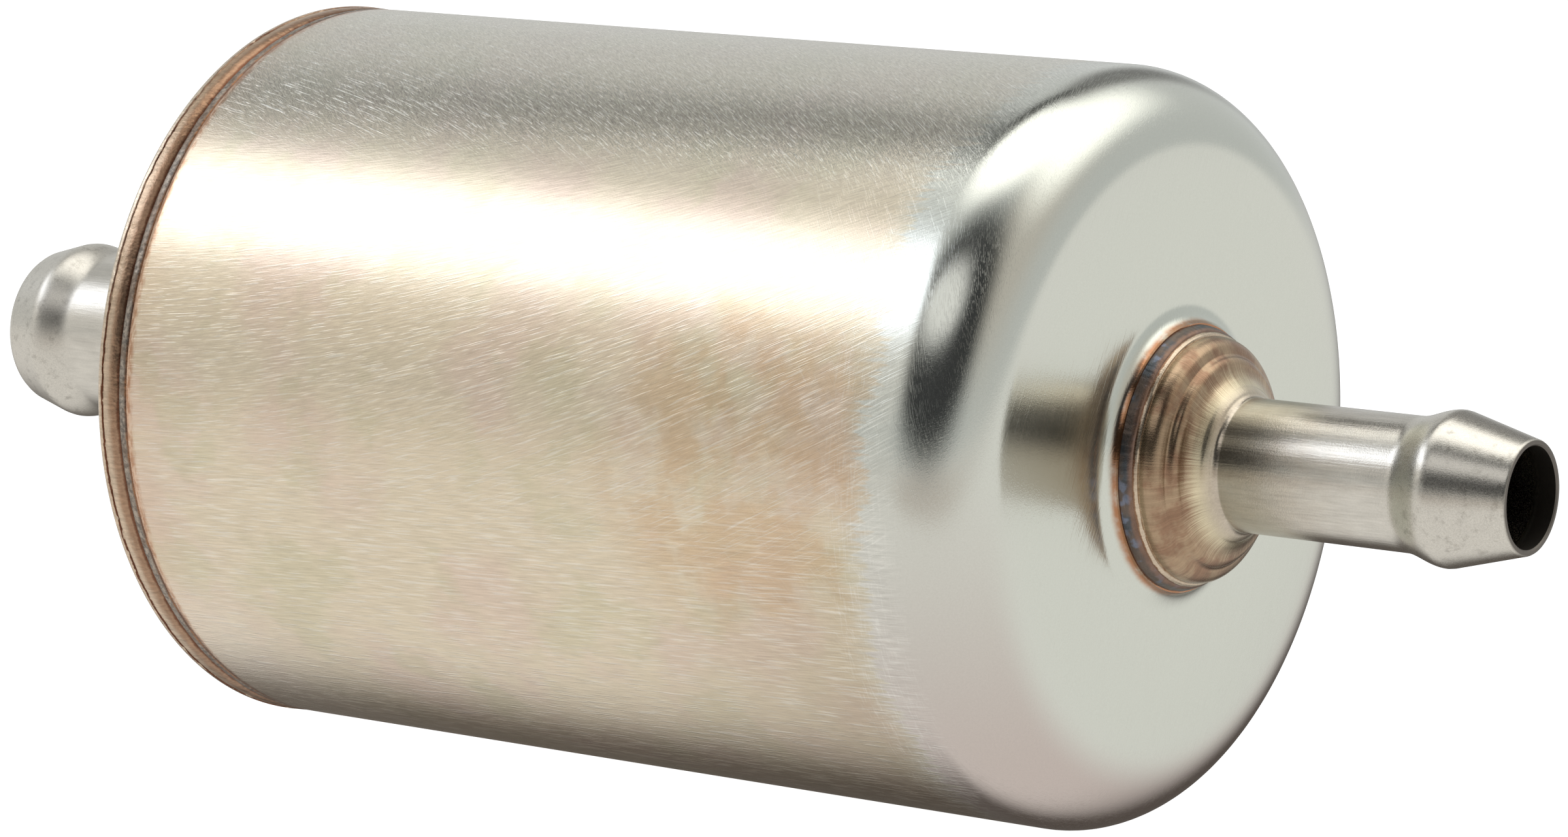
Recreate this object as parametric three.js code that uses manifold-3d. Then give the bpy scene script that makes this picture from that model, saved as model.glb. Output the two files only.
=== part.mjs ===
// In-line steel canister fuel filter: a drawn can and a welded rear cover, a beaded hose nipple at
// each end, and a spring-seated pleated element inside. Millimetres. The axis is X and the outlet
// points along +X, Z is up, and the origin is on the axis at the middle of the overall length.

import * as THREE from "three";
import { mergeVertices } from "three/addons/utils/BufferGeometryUtils.js";
import Module from "manifold-3d";

const wasm = await Module();
wasm.setup();

// ---- Driving dimensions -------------------------------------------------------------------

const canDiameter = 55;
const canWall = 0.8;
const shellLength = 78.2; // rear edge of the rim to the front face
const shoulderRadius = 6; // outside radius between side wall and front face
const canDraft = 0.4; // how much the can's open end is wider all round than its front
const rimStep = 0.1; // how far the rim stands out past the open end
const rimWidth = 2;
const rimEdgeRadius = 0.5;
const coverWall = 1;

// A nipple's lengths run along the axis from the shell face that carries it, and its radial
// sizes are steps from the outside of its tube.
const outlet = {
  reach: 28.05, // shell face to tip
  tubeDiameter: 9.525,
  tubeWall: 0.85,
  footOverhang: 4.2175,
  beadHeight: 0.7275,
  beadToTip: 5.75,
  beadRise: 3.1,
  tipInset: 0.7625,
  tipWall: 0.425,
};
const inlet = {
  reach: 30.5,
  tubeDiameter: 12.7,
  tubeWall: 0.9,
  footOverhang: 4.25,
  beadHeight: 0.8,
  beadToTip: 3.7,
  beadRise: 3.1,
  tipInset: 0.15,
  tipWall: 0.75,
};

// The collar drawn up round each hole, the weld on it and the nipple foot above the weld.
const collarHeight = 0.95;
const collarFillet = 1.5;
const collarOverFoot = 0.62; // collar wall radius less foot radius
const collarLand = 1.3; // radial width of the collar's top
const nippleWeldHeight = 0.65; // collar top to the underside of the foot
const footEdge = 0.5; // thickness of the foot's edge
const footWall = 0.9;
const domeHeight = 2.7; // top of the foot's edge to the top of the dome
const neckFillet = 1.15;

// Rear seam
const seamWidth = 0.9;
const seamLand = 0.25; // part of the can's open end that isn't bevelled
const seamCrown = 0.12;

// Element
const flowGap = 3.4; // from the end caps to the can all round
const mediaThickness = 0.5;
const pleatCount = 32;
const pleatTipWidth = 1.3;
const centerTubeDiameter = 20;
const centerTubeWall = 0.6;
const tubeHoleDiameter = 3;
const tubeHoleColumns = 6;
const tubeHoleRows = 5;
const linerThickness = 0.3;
const capWall = 0.6;
const capSkirt = 4;
const capNeckHeight = 1.5;
const pottingDepth = 2;
const bandWidth = 3;
const bandThickness = 0.5;
const clipFlank = 3.4;
const clipThickness = 0.3;
const bossDiameter = 13;
const bossHeight = 2.2;

// Seal, spring and its seat
const gasketThickness = 2.4;
const gasketWidth = 3.8;
const springLength = 10.35; // as installed
const springWire = 1.2;
const springTurns = 3.5;
const seatHeight = 5.5;
const seatWall = 0.8;
const seatFlange = 3;
const seatWindows = 4;
const seatWindowWidth = 9;

// Clearances
const touch = 0.05; // between faces that bear on each other
const slip = 0.2; // between a piece and the one it is located in
const cutGap = 0.3; // between a cut piece and its neighbour

// Smoothness
const roundSides = 40;
const nippleSides = 24;
const holeSides = 6;
const wireSides = 8;
const wireStepsPerTurn = 12;

// ---- Places that follow from them ---------------------------------------------------------

const canRadius = canDiameter / 2;
const canBore = canRadius - canWall;
const openRadius = canRadius + canDraft;
const openBore = openRadius - canWall;
const rimRadius = openRadius + rimStep;
const overallLength = inlet.reach + shellLength + outlet.reach;
const frontFace = overallLength / 2 - outlet.reach;
const rearFace = inlet.reach - overallLength / 2;
const frontInside = frontFace - canWall;
const rearInside = rearFace + coverWall;
const coverSkirtEnd = rearFace + rimWidth;

const canStart = coverSkirtEnd + seamWidth / 2;
const seamBevel = canWall - seamLand; // on the can's open end, filled by the weld

const footHeight = collarHeight + nippleWeldHeight;
const footRadius = (nipple) => nipple.tubeDiameter / 2 + nipple.footOverhang;
const collarRadius = (nipple) => footRadius(nipple) + collarOverFoot;
const flareRadius = (nipple, wall) => collarRadius(nipple) + collarFillet - wall;

const capRadius = canBore - flowGap;
const capBore = capRadius - capWall;
const mediaRadius = capBore - clipThickness - 2 * slip;
const tubeRadius = centerTubeDiameter / 2;
const tubeBore = tubeRadius - centerTubeWall;
const linerInner = tubeRadius + touch;
const linerOuter = linerInner + linerThickness;
const mediaInner = linerOuter + slip + mediaThickness / 2;
const mediaOuter = mediaRadius - mediaThickness / 2;
const bandInner = mediaRadius + slip;

const gasketInner = flareRadius(outlet, canWall) + slip;
const gasketFront = frontInside - touch;
const outletCapFront = gasketFront - gasketThickness - touch;
const seatTop = rearInside + touch + seatHeight;
const inletCapRear = seatTop + springLength;
const pottingFront = outletCapFront - capWall - touch;
const pottingRear = inletCapRear + capWall + touch;
const mediaFront = pottingFront - pottingDepth - touch;
const mediaRear = pottingRear + pottingDepth + touch;
const mediaLength = mediaFront - mediaRear;
const mediaMiddle = (mediaFront + mediaRear) / 2;
const springInner = bossDiameter / 2 + slip;
const springRadius = springInner + springWire / 2;

// ---- Shape helpers ------------------------------------------------------------------------

const point = (axial, radius) => new THREE.Vector2(axial, radius);

// A solid of revolution about X from a closed outline of (axial, radius) points.
function revolve(outline, sides = roundSides) {
  const inOrder = THREE.ShapeUtils.isClockWise(outline) ? [...outline].reverse() : outline;
  const profile = inOrder.map((p) => new THREE.Vector2(p.y, -p.x));
  profile.push(profile[0].clone());
  const halfStep = Math.PI / sides;
  return new THREE.LatheGeometry(profile, sides, halfStep).rotateZ(Math.PI / 2);
}

// Points of an elliptic arc round centre, from one angle to another, in degrees.
function arc(centre, axialRadius, radialRadius, from, to, steps) {
  return Array.from({ length: steps + 1 }, (_, i) => {
    const angle = THREE.MathUtils.degToRad(from + ((to - from) * i) / steps);
    return point(
      centre.x + axialRadius * Math.cos(angle),
      centre.y + radialRadius * Math.sin(angle),
    );
  });
}

// Sends an outline drawn outwards from a shell face to its place: side is +1 in front, -1 behind.
const place = (outline, face, side) => outline.map((p) => point(face + side * p.x, p.y));

function toSolid(geometry) {
  const bare = geometry.index ? geometry.toNonIndexed() : geometry.clone();
  for (const name of Object.keys(bare.attributes)) {
    if (name !== "position") bare.deleteAttribute(name);
  }
  const merged = mergeVertices(bare, 1e-4);
  return new wasm.Manifold(
    new wasm.Mesh({
      numProp: 3,
      vertProperties: new Float32Array(merged.attributes.position.array),
      triVerts: new Uint32Array(merged.index.array),
    }),
  );
}

function toGeometry(solid) {
  const { vertProperties, triVerts } = solid.getMesh();
  return new THREE.BufferGeometry()
    .setAttribute("position", new THREE.BufferAttribute(new Float32Array(vertProperties), 3))
    .setIndex(new THREE.BufferAttribute(new Uint32Array(triVerts), 1));
}

function cutAll(geometry, cutters) {
  const cut = cutters.reduce((solid, cutter) => solid.subtract(toSolid(cutter)), toSolid(geometry));
  return toGeometry(cut);
}

// An extrusion along X of a shape drawn in the (Y, Z) plane.
function extrudeAlongAxis(shape, start, length) {
  const geometry = new THREE.ExtrudeGeometry(shape, { depth: length, bevelEnabled: false });
  const toAxis = new THREE.Matrix4().makeBasis(
    new THREE.Vector3(0, 1, 0),
    new THREE.Vector3(0, 0, 1),
    new THREE.Vector3(1, 0, 0),
  );
  return geometry.applyMatrix4(toAxis).translate(start, 0, 0);
}

// ---- Shell --------------------------------------------------------------------------------

// The collar outside, from the flat face up to its top land, then down the hole to the inside face.
function collarOutline(nipple, wall) {
  const wallRadius = collarRadius(nipple);
  const hole = wallRadius - collarLand;
  const outer = arc(point(collarHeight, wallRadius + collarFillet), collarHeight, collarFillet,
    180, 270, 3);
  return [...outer, point(collarHeight, hole), point(-wall / 4, hole),
    point(-wall, flareRadius(nipple, wall))];
}

function canBody() {
  const centre = point(frontFace - shoulderRadius, canRadius - shoulderRadius);
  const inner = shoulderRadius - canWall;
  return revolve([
    point(canStart, openBore),
    point(canStart, openRadius - seamBevel),
    point(canStart + seamBevel, openRadius),
    ...arc(centre, shoulderRadius, shoulderRadius, 90, 0, 5),
    ...place(collarOutline(outlet, canWall), frontFace, 1),
    ...arc(centre, inner, inner, 0, 90, 4),
  ]);
}

function rearCover() {
  const edge = arc(point(rimEdgeRadius, rimRadius - rimEdgeRadius), rimEdgeRadius, rimEdgeRadius,
    180, 90, 3);
  const insideCorner = arc(point(2 * coverWall, openBore - coverWall), coverWall, coverWall, 180, 90, 2);
  const outline = [
    ...edge,
    point(rimWidth, rimRadius),
    point(rimWidth, openBore),
    ...[...insideCorner].reverse(),
  ];
  const collar = collarOutline(inlet, coverWall).map((p) => point(-p.x, p.y)).reverse();
  return revolve(place([...outline, ...collar], rearFace, 1));
}

function rearSeamWeld() {
  const root = openBore + touch;
  const start = coverSkirtEnd + touch;
  const end = canStart - touch;
  const crown = point((start + end + seamBevel) / 2, openRadius + touch);
  return revolve([
    point(start, root),
    point(end, root),
    point(end, openRadius - seamBevel),
    point(end + seamBevel, openRadius),
    ...arc(crown, (end + seamBevel - start) / 2, seamCrown, 0, 180, 4),
  ]);
}

// The ring of weld between a collar's top and the underside of the nipple's foot.
function nippleWeld(nipple, face, side) {
  const foot = footRadius(nipple);
  const low = collarHeight + touch;
  const high = footHeight - touch;
  const outline = [
    point(low, foot - 0.6 * collarLand),
    ...arc(point((low + high) / 2, foot + touch), (high - low) / 2, collarOverFoot / 2, 180, 0, 3),
    point(high, foot - 0.6 * collarLand),
  ];
  return revolve(place(outline, face, side), nippleSides);
}

// ---- Nipples ------------------------------------------------------------------------------

// Outside: foot edge, dome, concave neck, tube, bead and cone. Inside: the same turned back.
function hoseNipple(nipple, face, side) {
  const foot = footRadius(nipple);
  const tube = nipple.tubeDiameter / 2;
  const bore = tube - nipple.tubeWall;
  const bead = tube + nipple.beadHeight;
  const tip = tube - nipple.tipInset;
  const tipBore = tip - nipple.tipWall;
  const domeStart = footHeight + footEdge;
  const domeTop = domeStart + domeHeight;
  const shoulder = tube + neckFillet;
  const crest = nipple.reach - nipple.beadToTip;
  const riseStart = crest - nipple.beadRise;
  const tipRound = 0.1;

  const dome = arc(point(domeStart, shoulder), domeHeight, foot - shoulder, 90, 12, 4);
  const neck = arc(point(domeTop + neckFillet, shoulder), neckFillet, neckFillet, 195, 270, 3);
  const rise = [0, 0.3, 0.55, 0.8].map((share) => {
    const smooth = THREE.MathUtils.smoothstep(share, 0, 1);
    return point(riseStart + share * nipple.beadRise, tube + smooth * (bead - tube));
  });
  const coneAngle = Math.atan2(bead - tip, nipple.beadToTip);
  const innerBell = arc(point(domeStart, bore + footWall), domeHeight - footWall / 2,
    foot - footWall - bore - footWall, 12, 90, 3);
  const innerNeck = arc(point(domeTop + footWall, bore + footWall), footWall, footWall, 260, 195, 2);

  const outline = [
    point(footHeight, foot),
    ...dome,
    ...neck,
    ...rise,
    point(crest, bead),
    point(nipple.reach - tipRound, tip + tipRound * Math.tan(coneAngle)),
    point(nipple.reach, tip - tipRound),
    point(nipple.reach, tipBore),
    point(crest + nipple.beadToTip / 4, bead - nipple.tubeWall - tipRound),
    point(crest - nipple.tubeWall / 2, bead - nipple.tubeWall),
    point(riseStart, bore),
    ...innerNeck,
    ...innerBell,
    point(footHeight, foot - footWall),
  ];
  return revolve(place(outline, face, side), nippleSides);
}

// ---- Element ------------------------------------------------------------------------------

const polar = (radius, angle) =>
  new THREE.Vector2(radius * Math.cos(angle), radius * Math.sin(angle));

const pleatPitch = (2 * Math.PI) / pleatCount;
const pleatFoot = pleatPitch / 2; // angle between a pleat's two leaves at the inside
const pleatTip = pleatTipWidth / mediaOuter; // and at the outside

// One folded sheet: it starts at the outside of the first pleat, goes round, and ends beside it.
function pleatPath() {
  const path = [];
  for (let pleat = 0; pleat <= pleatCount; pleat++) {
    const middle = pleat * pleatPitch;
    if (pleat > 0) {
      path.push(polar(mediaInner, middle - pleatFoot / 2), polar(mediaOuter, middle - pleatTip / 2));
    }
    if (pleat < pleatCount) {
      path.push(polar(mediaOuter, middle + pleatTip / 2), polar(mediaInner, middle + pleatFoot / 2));
    }
  }
  return path;
}

// A path given a thickness, with mitred folds.
function thicken(path, thickness) {
  const sideOf = (side) =>
    path.map((here, i) => {
      const before = i > 0 ? here.clone().sub(path[i - 1]).normalize() : null;
      const after = i < path.length - 1 ? path[i + 1].clone().sub(here).normalize() : null;
      const along = (before ?? after).clone().add(after ?? before).normalize();
      const lean = along.dot(after ?? before);
      const reach = (side * thickness) / 2 / lean;
      return new THREE.Vector2(here.x - along.y * reach, here.y + along.x * reach);
    });
  return new THREE.Shape([...sideOf(1), ...sideOf(-1).reverse()]);
}

function pleatedMedia() {
  return extrudeAlongAxis(thicken(pleatPath(), mediaThickness), mediaRear, mediaLength);
}

// A channel folded over the two free leaves of the first pleat, which points along +Y.
function mediaSeamClip() {
  const half = pleatTipWidth / 2 + mediaThickness / 2 + slip;
  const top = mediaRadius + touch;
  const low = top - clipFlank;
  const shape = new THREE.Shape([
    new THREE.Vector2(low, -half - clipThickness),
    new THREE.Vector2(top + clipThickness, -half - clipThickness),
    new THREE.Vector2(top + clipThickness, half + clipThickness),
    new THREE.Vector2(low, half + clipThickness),
    new THREE.Vector2(low, half),
    new THREE.Vector2(top, half),
    new THREE.Vector2(top, -half),
    new THREE.Vector2(low, -half),
  ]);
  return extrudeAlongAxis(shape, mediaRear, mediaLength);
}

const sleeve = (start, end, inner, outer, sides = roundSides) =>
  revolve([point(start, inner), point(start, outer), point(end, outer), point(end, inner)], sides);

function centerTube() {
  const rowPitch = mediaLength / tubeHoleRows;
  const drills = [];
  for (let row = 0; row < tubeHoleRows; row++) {
    for (let column = 0; column < tubeHoleColumns / 2; column++) {
      const stagger = (row % 2) / 2;
      const angle = ((column + stagger) * 2 * Math.PI) / tubeHoleColumns;
      drills.push(
        new THREE.CylinderGeometry(tubeHoleDiameter / 2, tubeHoleDiameter / 2,
          centerTubeDiameter + 2, holeSides)
          .rotateX(angle)
          .translate(mediaRear + (row + 0.5) * rowPitch, 0, 0),
      );
    }
  }
  return cutAll(sleeve(mediaRear, mediaFront, tubeBore, tubeRadius, nippleSides), drills);
}

// Cup over the media's outlet end, with a neck that the gasket sits on.
function outletEndCap() {
  const neckOuter = gasketInner - slip;
  const neckBore = neckOuter - capWall;
  const front = outletCapFront;
  return revolve([
    point(front - capWall, neckBore),
    point(front + capNeckHeight, neckBore),
    point(front + capNeckHeight, neckOuter),
    point(front, neckOuter),
    point(front, capRadius),
    point(front - capSkirt, capRadius),
    point(front - capSkirt, capBore),
    point(front - capWall, capBore),
  ]);
}

// Closed cup over the other end, with a boss that centres the spring.
function inletEndCap() {
  const rear = inletCapRear;
  const boss = bossDiameter / 2;
  return revolve([
    point(rear - bossHeight, 0),
    point(rear - bossHeight, boss - capWall / 2),
    point(rear - bossHeight + capWall / 2, boss),
    point(rear, boss),
    point(rear, capRadius),
    point(rear + capSkirt, capRadius),
    point(rear + capSkirt, capBore),
    point(rear + capWall, capBore),
    point(rear + capWall, boss - capWall),
    point(rear - bossHeight + capWall, boss - capWall),
    point(rear - bossHeight + capWall, 0),
  ]);
}

function band(middle) {
  // split where the seam clip stands out past the pleats
  const ring = sleeve(middle - bandWidth / 2, middle + bandWidth / 2, bandInner,
    bandInner + bandThickness);
  const halfGap = pleatTipWidth / 2 + mediaThickness / 2 + slip + clipThickness + cutGap;
  const slot = new THREE.BoxGeometry(bandWidth + 2, mediaRadius, 2 * halfGap);
  return cutAll(ring, [slot.translate(middle, mediaRadius, 0)]);
}

// ---- Seal, spring and seat ----------------------------------------------------------------

function outletGasket() {
  return sleeve(gasketFront - gasketThickness, gasketFront, gasketInner, gasketInner + gasketWidth);
}

class Helix extends THREE.Curve {
  constructor(start, end, radius, turns) {
    super();
    Object.assign(this, { start, end, radius, turns });
  }
  getPoint(share, target = new THREE.Vector3()) {
    const angle = share * this.turns * 2 * Math.PI;
    return target.set(
      THREE.MathUtils.lerp(this.start, this.end, share),
      this.radius * Math.cos(angle),
      this.radius * Math.sin(angle),
    );
  }
}

function elementSpring() {
  const inset = springWire / 2 + touch;
  const path = new Helix(seatTop + inset, inletCapRear - inset, springRadius, springTurns);
  const section = new THREE.Shape();
  section.absarc(0, 0, springWire / 2, 0, 2 * Math.PI);
  return new THREE.ExtrudeGeometry(section, {
    steps: springTurns * wireStepsPerTurn,
    curveSegments: wireSides / 2, // for each half of the section
    extrudePath: path,
  });
}

// A top hat welded inside the rear cover, outside the inlet hole: the spring stands on its top
// round a central hole, and fuel leaves through the hole and the windows in its wall.
function springSeat() {
  const outer = flareRadius(inlet, coverWall) + slip + seatWall;
  const low = rearInside + touch;
  const hat = revolve([
    point(low, outer - seatWall),
    point(low, outer + seatFlange),
    point(low + seatWall, outer + seatFlange),
    point(low + seatWall, outer),
    point(seatTop, outer),
    point(seatTop, springInner - slip),
    point(seatTop - seatWall, springInner - slip),
    point(seatTop - seatWall, outer - seatWall),
  ], nippleSides);
  const windowHeight = seatHeight - 3 * seatWall;
  const middle = low + seatWall + windowHeight / 2 + seatWall / 2;
  const windows = Array.from({ length: seatWindows / 2 }, (_, i) =>
    new THREE.BoxGeometry(windowHeight, 3 * outer, seatWindowWidth)
      .rotateX((i * 2 * Math.PI) / seatWindows)
      .translate(middle, 0, 0),
  );
  return cutAll(hat, windows);
}

// ---- Assembly -----------------------------------------------------------------------------

const finish = (color, roughness, metalness) =>
  new THREE.MeshStandardMaterial({ color, roughness, metalness });

const looks = {
  can: () => finish("#c3b59a", 0.34, 1),
  cover: () => finish("#b3a48c", 0.38, 1),
  weld: () => finish("#5b5a5c", 0.5, 1),
  nipple: () => finish("#c9c4b8", 0.3, 1),
  plated: () => finish("#b9b7ae", 0.4, 1),
  mesh: () => finish("#9a9a98", 0.5, 1),
  paper: () => finish("#d9a441", 0.85, 0),
  compound: () => finish("#7c4a2d", 0.7, 0),
  rubber: () => finish("#1f1f20", 0.8, 0),
  spring: () => finish("#8b8d90", 0.3, 1),
  bandStrip: () => finish("#efe9da", 0.8, 0),
};

const fuelFilter = new THREE.Group();

function add(name, geometry, look) {
  const mesh = new THREE.Mesh(geometry, looks[look]());
  mesh.name = name;
  fuelFilter.add(mesh);
}

add("can_body", canBody(), "can");
add("rear_cover", rearCover(), "cover");
add("rear_seam_weld", rearSeamWeld(), "weld");
add("outlet_nipple", hoseNipple(outlet, frontFace, 1), "nipple");
add("outlet_weld", nippleWeld(outlet, frontFace, 1), "weld");
add("inlet_nipple", hoseNipple(inlet, rearFace, -1), "nipple");
add("inlet_weld", nippleWeld(inlet, rearFace, -1), "weld");

add("pleated_media", pleatedMedia(), "paper");
add("media_seam_clip", mediaSeamClip(), "plated");
add("center_tube", centerTube(), "plated");
add("liner_screen", sleeve(mediaRear, mediaFront, linerInner, linerOuter, nippleSides), "mesh");
add("outlet_end_cap", outletEndCap(), "plated");
add("inlet_end_cap", inletEndCap(), "plated");
add("outlet_potting", sleeve(pottingFront - pottingDepth, pottingFront, tubeBore, capBore - touch),
  "compound");
add("inlet_potting", sleeve(pottingRear, pottingRear + pottingDepth, tubeBore, capBore - touch),
  "compound");
add("pleat_band_front", band(mediaMiddle + mediaLength / 6), "bandStrip");
add("pleat_band_rear", band(mediaMiddle - mediaLength / 6), "bandStrip");

add("outlet_gasket", outletGasket(), "rubber");
add("element_spring", elementSpring(), "spring");
add("spring_seat", springSeat(), "plated");

export default fuelFilter;
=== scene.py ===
import math
import bmesh
import bpy
from mathutils import Matrix, Vector


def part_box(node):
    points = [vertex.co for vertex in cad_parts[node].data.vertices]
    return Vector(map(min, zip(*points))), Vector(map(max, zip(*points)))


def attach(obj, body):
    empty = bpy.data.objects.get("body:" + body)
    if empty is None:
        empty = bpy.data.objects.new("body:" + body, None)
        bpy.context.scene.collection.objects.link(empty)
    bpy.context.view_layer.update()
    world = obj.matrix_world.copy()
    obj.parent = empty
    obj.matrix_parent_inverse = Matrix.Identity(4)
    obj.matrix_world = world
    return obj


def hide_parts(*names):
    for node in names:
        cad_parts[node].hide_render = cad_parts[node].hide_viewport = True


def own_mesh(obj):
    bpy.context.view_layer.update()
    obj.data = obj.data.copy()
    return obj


# In-line fuel filter: satin steel can, welded cover, beaded hose nipple at each end.
# Metres throughout; the axis is X, the outlet points along +X and Z is up.

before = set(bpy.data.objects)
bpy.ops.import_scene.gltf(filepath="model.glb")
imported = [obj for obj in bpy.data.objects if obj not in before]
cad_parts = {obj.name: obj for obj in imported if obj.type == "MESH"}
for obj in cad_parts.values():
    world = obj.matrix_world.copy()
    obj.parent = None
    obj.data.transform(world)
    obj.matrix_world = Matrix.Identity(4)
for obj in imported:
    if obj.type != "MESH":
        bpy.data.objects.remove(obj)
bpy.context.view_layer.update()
print("frame loaded:", len(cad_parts), "nodes")

mm = 0.001
weldWithin = 1e-7  # points closer than this are joined

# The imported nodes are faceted, so a true radius is a node's height over the cosine of half a facet.
facets = {"shell": 40, "nipple": 24}


def trueRadius(node, kind):
    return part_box(node)[1].z / math.cos(math.pi / facets[kind]) / mm


# Sizes that every piece is worked out from, in millimetres. The collar stands out past each face.
shell = {
    "collarHeight": 0.95,
    "openRadius": trueRadius("can_body", "shell"),  # at the can's open end
    "rimRadius": trueRadius("rear_cover", "shell"),
    "draft": 0.4,  # the can narrows by this towards the front
}
shell["canRadius"] = shell["openRadius"] - shell["draft"]
shell["frontFace"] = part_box("can_body")[1].x / mm - shell["collarHeight"]
shell["rearFace"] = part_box("rear_cover")[0].x / mm + shell["collarHeight"]


# ---- Outlines ----

# A point of an outline: place along the axis, radius, and how much the surface ripples outwards
# and frays along the axis there.
class Outline:
    def __init__(self):
        self.points = []

    def add(self, axial, radius, ripple=0.0, fray=0.0):
        self.points.append((axial, radius, ripple, fray))
        return self

    def arc(self, axial, radius, axialSize, radialSize, start, end, steps):
        for i in range(steps + 1):
            angle = math.radians(start + (end - start) * i / steps)
            self.add(axial + axialSize * math.cos(angle), radius + radialSize * math.sin(angle))
        return self

    # A smooth line through points of (axial, radius).
    def through(self, points, steps=5):
        ends = [points[0]] + points + [points[-1]]
        for a, b, c, d in zip(ends, ends[1:], ends[2:], ends[3:]):
            for i in range(steps):
                t = i / steps
                self.add(*(0.5 * (2 * q + (r - p) * t + (2 * p - 5 * q + 4 * r - s) * t * t
                                  + (3 * q - p - 3 * r + s) * t ** 3)
                           for p, q, r, s in zip(a, b, c, d)))
        return self.add(*points[-1])

    # A copy that stands on a shell face: side is 1 in front and -1 behind.
    def place(self, face, side):
        moved = Outline()
        moved.points = [(face + side * p[0], *p[1:]) for p in self.points]
        return moved

    # The closed loop. Long straight runs get points near both ends, so that smooth shading stays flat
    # between them, and further points at most longest apart.
    def closed(self, longRun=1.2, support=0.12, longest=4):
        loop = self.points + [self.points[0]]
        made = [loop[0]]
        for a, b in zip(loop, loop[1:]):
            length = math.hypot(b[0] - a[0], b[1] - a[1])
            if length > longRun:
                cuts = [support / length, 1 - support / length]
                inner = int(length / longest)
                cuts += [(i + 1) / (inner + 1) for i in range(inner)]
                for t in sorted(cuts):
                    made.append(tuple(p + (q - p) * t for p, q in zip(a, b)))
            made.append(b)
        return made


# ---- Nodes ----

# Sets an input to a number, or links it when the value is a socket.
def feed(group, target, value):
    if isinstance(value, Field):
        group.links.new(value.socket, target)
    elif isinstance(value, bpy.types.NodeSocket):
        group.links.new(value, target)
    else:
        target.default_value = value


# A node group being built: node adds one node, and out gives one of its outputs as a number to
# reckon with.
class Nodes:
    def __init__(self, group):
        self.group = group

    def node(self, kind, settings=None, inputs=None):
        made = self.group.nodes.new(kind)
        for key, value in (settings or {}).items():
            setattr(made, key, value)
        for key, value in (inputs or {}).items():
            feed(self.group, made.inputs[key], value)
        return made

    def out(self, kind, settings=None, inputs=None, output=0):
        return Field(self, self.node(kind, settings, inputs).outputs[output])

    def vector(self, x=0, y=0, z=0):
        return self.out("ShaderNodeCombineXYZ", None, {0: x, 1: y, 2: z})

    def parts(self, vector):
        split = self.node("ShaderNodeSeparateXYZ", None, {0: vector})
        return [Field(self, split.outputs[i]) for i in range(3)]

    def mix(self, factor, a, b, blend="MIX"):
        made = self.node("ShaderNodeMix", {"data_type": "RGBA", "blend_type": blend})
        feed(self.group, made.inputs[0], factor)
        feed(self.group, made.inputs[6], a)
        feed(self.group, made.inputs[7], b)
        return Field(self, made.outputs[2])


# A number that varies over a surface: sums and products on it add their Math nodes.
class Field:
    def __init__(self, tree, socket):
        self.tree = tree
        self.socket = socket

    def maths(self, operation, *others):
        return self.tree.out("ShaderNodeMath", {"operation": operation}, dict(enumerate([self, *others])))

    def swapped(self, operation, other):
        return self.tree.out("ShaderNodeMath", {"operation": operation}, {0: other, 1: self})

    def __add__(self, other):
        return self.maths("ADD", other)

    def __radd__(self, other):
        return self.swapped("ADD", other)

    def __sub__(self, other):
        return self.maths("SUBTRACT", other)

    def __rsub__(self, other):
        return self.swapped("SUBTRACT", other)

    def __mul__(self, other):
        return self.maths("MULTIPLY", other)

    def __rmul__(self, other):
        return self.swapped("MULTIPLY", other)

    def __truediv__(self, other):
        return self.maths("DIVIDE", other)

    def __rtruediv__(self, other):
        return self.swapped("DIVIDE", other)

    def __pow__(self, other):
        return self.maths("POWER", other)

    def __rpow__(self, other):
        return self.swapped("POWER", other)

    def __neg__(self):
        return self.maths("MULTIPLY", -1)

    # 0 below low, 1 above high, eased between.
    def step(self, low, high):
        return self.tree.out("ShaderNodeMapRange", {"interpolation_type": "SMOOTHSTEP"},
                             {"Value": self, "From Min": low, "From Max": high})

    # 1 between low and high, fading to 0 over the soft width outside them.
    def band(self, low, high, soft):
        return self.step(low - soft, low) * (1 - self.step(high, high + soft))


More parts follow.
